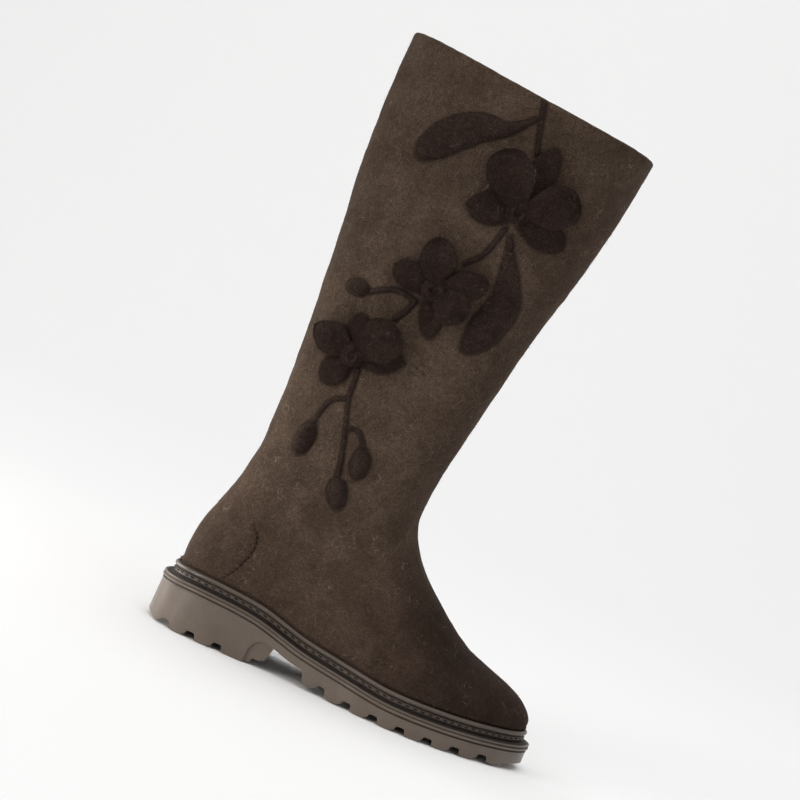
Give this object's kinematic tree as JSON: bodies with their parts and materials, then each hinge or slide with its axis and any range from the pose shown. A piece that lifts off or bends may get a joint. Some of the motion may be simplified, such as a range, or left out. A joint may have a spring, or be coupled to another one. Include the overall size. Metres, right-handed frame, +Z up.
{
  "type": "felt boot",
  "caption": "Knee-high felt winter boot with a welted, lugged rubber sole and a needle-felted flower spray on the outer side of the shaft.",
  "frame": {"origin": "the middle of the base of the boot's own box, on the floor", "axes": "+X from heel to toe, +Z up the shaft, -Y towards the outer side of this right boot"},
  "size_m": [0.277, 0.1114, 0.4322],
  "materials": {
    "brown_felt": "dense wool felt, matt and hairy",
    "brown_rubber": "moulded, semi-gloss",
    "insole_felt": "thin wool felt, matt",
    "dark_felt": "needle-felted wool, soft and matt"
  },
  "bodies": {
    "root": {"upper": "brown_felt", "outsole": "brown_rubber", "welt": "brown_rubber", "insole": "insole_felt", "flower_top": "dark_felt", "flower_middle": "dark_felt", "flower_low": "dark_felt", "leaf_upper": "dark_felt", "leaf_lower": "dark_felt", "bud_middle": "dark_felt", "bud_back": "dark_felt", "bud_front": "dark_felt", "bud_low": "dark_felt", "stem_top": "dark_felt", "stem_upper": "dark_felt", "stem_bud": "dark_felt", "stem_middle": "dark_felt", "stem_low": "dark_felt", "stem_back": "dark_felt", "stem_front": "dark_felt"}
  },
  "joints": []
}
